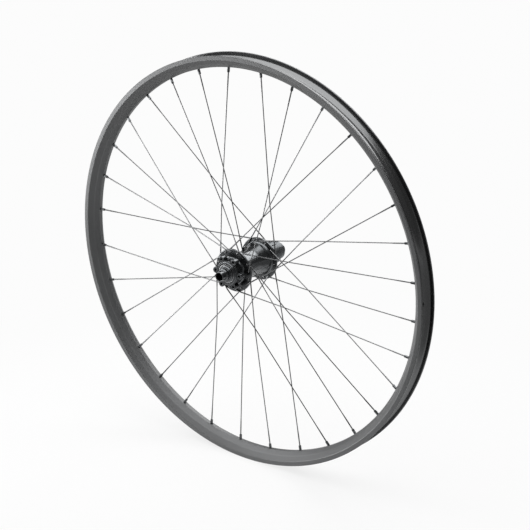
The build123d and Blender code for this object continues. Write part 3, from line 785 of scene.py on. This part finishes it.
def floorMaterial():
    # even white to the camera; reflections and bounced light see a white sheet that ends in front and
    # at the sides, on a darker bench
    material = bpy.data.materials.new("paleFloor")
    material.use_nodes = True
    tree = material.node_tree
    nodes, link = tree.nodes, tree.links.new
    nodes.remove(nodes["Principled BSDF"])
    coords, axes, reach, paint, glow, mix = (nodes.new("ShaderNode" + kind) for kind in (
        "TexCoord", "SeparateXYZ", "VectorMath", "BsdfDiffuse", "Emission", "MixShader"))
    glow.inputs["Color"].default_value = studioWhite
    link(coords.outputs["Object"], axes.inputs["Vector"])
    away, aside = axes.outputs["Y"], mathNode(tree, "ABSOLUTE", axes.outputs["X"])
    front = rangeNode(tree, away, (studio["frontFrom"], studio["frontTo"], 1.0, 0.0), smooth=True)
    sides = rangeNode(tree, aside, (studio["sideFrom"], studio["sideTo"], 1.0, 0.0), smooth=True)
    sheet = mixNode(tree, mathNode(tree, "MULTIPLY", front, sides), studio["bench"], 1.0)
    camera, seen = seenRays(tree)
    level = mathNode(tree, "MAXIMUM", camera, sheet)
    link(level, glow.inputs["Strength"])
    link(mathNode(tree, "MULTIPLY", level, studio["paint"]), paint.inputs["Color"])
    # near the wheel the lit paint shows through by a small share, and with it the wheel's shadow
    reach.operation = "LENGTH"
    link(coords.outputs["Object"], reach.inputs[0])
    glowShare = rangeNode(tree, reach.outputs["Value"], (
        studio["shadowFrom"], studio["shadowTo"], 1 - studio["shadowShare"], 1.0), smooth=True)
    link(mathNode(tree, "MULTIPLY", seen, glowShare), mix.inputs["Fac"])
    link(paint.outputs["BSDF"], mix.inputs[1])
    link(glow.outputs["Emission"], mix.inputs[2])
    link(mix.outputs["Shader"], nodes["Material Output"].inputs["Surface"])
    return material


def buildFloor():
    mesh = bpy.data.meshes.new("studio_floor")
    half, z = studio["floorSize"] / 2, studio["floorZ"] * mm
    corners = [(-half, -half, z), (half, -half, z), (half, half, z), (-half, half, z)]
    mesh.from_pydata(corners, [], [(0, 1, 2, 3)])
    mesh.materials.append(floorMaterial())
    floor = bpy.data.objects.new("studio_floor", mesh)
    scene.collection.objects.link(floor)


buildFloor()


def buildWorld():
    # white to the camera, white low down and dim overhead in reflections, an even fill for diffuse light
    world = bpy.data.worlds.new("studioWorld")
    scene.world = world
    world.use_nodes = True
    tree = world.node_tree
    nodes, link = tree.nodes, tree.links.new
    back = nodes["Background"]
    back.inputs["Color"].default_value = studioWhite
    coords, axes = nodes.new("ShaderNodeTexCoord"), nodes.new("ShaderNodeSeparateXYZ")
    link(coords.outputs["Generated"], axes.inputs["Vector"])
    room = rangeNode(tree, axes.outputs["Z"], (
        studio["fadeFrom"], studio["fadeTo"], studio["horizon"], studio["ceiling"]), smooth=True)
    camera, seen = seenRays(tree)
    reflected = mathNode(tree, "MAXIMUM", camera, room)
    link(mixNode(tree, seen, studio["diffuseFill"], reflected), back.inputs["Strength"])


buildWorld()

# soft boxes: radiance is the brightness seen in a mirror, so power follows from it and the area
lamps = {
    "keyBox": {"toward": (0.84, 0.52, -0.10), "distance": 1.4, "size": (0.9, 0.34), "radiance": 10.5},
    "sideBox": {"toward": (0.80, 0.28, 0.53), "distance": 2.2, "size": (1.3, 0.9), "radiance": 3.2},
    "topBox": {"toward": (0.09, 0.17, 1.0), "distance": 2.25, "size": (3.2, 2.8), "radiance": 3.1},
    "backBox": {"toward": (0.05, -0.72, 0.66), "distance": 2.4, "size": (2.4, 1.1), "radiance": 5.0},
}
for lampName, lamp in lamps.items():
    light = bpy.data.lights.new(lampName, "AREA")
    light.shape = "RECTANGLE"
    light.size, light.size_y = lamp["size"]
    light.energy = lamp["radiance"] * math.pi * light.size * light.size_y
    holder = bpy.data.objects.new(lampName, light)
    holder.location = Vector(lamp["toward"]).normalized() * lamp["distance"]
    holder.rotation_euler = (-holder.location).to_track_quat("-Z", "Y").to_euler()
    holder.visible_camera = False
    scene.collection.objects.link(holder)

# camera: azimuth and elevation seen from the wheel, and where in the picture the wheel's centre lies,
# in pixels from the left and from the top
view = {"azimuth": 218.044, "elevation": 21.312, "distance": 3.0996, "focalPixels": 2081.2,
        "imagePixels": 530, "centre": (250.26, 262.63), "sensor": 36.0, "clipEnd": 100.0}


def buildCamera():
    a, e = math.radians(view["azimuth"]), math.radians(view["elevation"])
    back = Vector((math.sin(a) * math.cos(e), -math.cos(a) * math.cos(e), math.sin(e)))
    right = Vector((math.cos(a), math.sin(a), 0))
    up = back.cross(right)
    scale = view["distance"] / view["focalPixels"]
    middle = view["imagePixels"] / 2
    target = right * (middle - view["centre"][0]) * scale - up * (middle - view["centre"][1]) * scale
    data = bpy.data.cameras.new("camera")
    data.sensor_width = view["sensor"]
    data.lens = view["focalPixels"] / view["imagePixels"] * view["sensor"]
    data.clip_end = view["clipEnd"]
    camera = bpy.data.objects.new("camera", data)
    camera.location = back * view["distance"]
    # the smallest turn from looking at the wheel's centre, so the picture does not roll
    behind = (camera.location - target).normalized()
    across = (right - behind * right.dot(behind)).normalized()
    camera.rotation_euler = Matrix((across, behind.cross(across), behind)).transposed().to_euler()
    scene.collection.objects.link(camera)
    scene.camera = camera


buildCamera()
print("studio ready")
